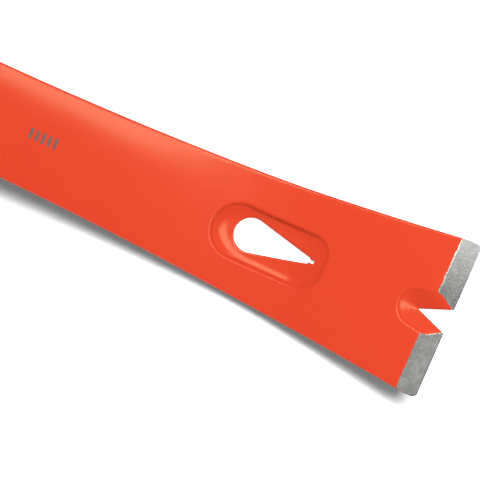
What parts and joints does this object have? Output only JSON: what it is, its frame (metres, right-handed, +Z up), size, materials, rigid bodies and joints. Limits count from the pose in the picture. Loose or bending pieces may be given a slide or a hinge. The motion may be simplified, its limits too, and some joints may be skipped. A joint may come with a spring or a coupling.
{
  "type": "flat pry bar",
  "caption": "Forged flat pry bar with a flared, ground claw, a teardrop nail slot in a pressed recess, a crowned shaft and a hooked claw, powder coated.",
  "frame": {"origin": "on the ground, under the middle of the bar's bounding box, with the bar lying on its heel and the edge of its hook", "axes": "+X along the bar towards the straight claw, +Y across the bar, +Z up"},
  "size_m": [0.533, 0.0678, 0.0534],
  "materials": {
    "bare_steel": "ground spring steel, matt and slightly stained",
    "powder_coat": "orange-red polyester powder coat, satin",
    "print_ink": "grey printing ink, matt"
  },
  "bodies": {
    "root": {"forged_bar": "bare_steel", "powder_coat": "powder_coat", "ink_mark": "print_ink"}
  },
  "joints": []
}
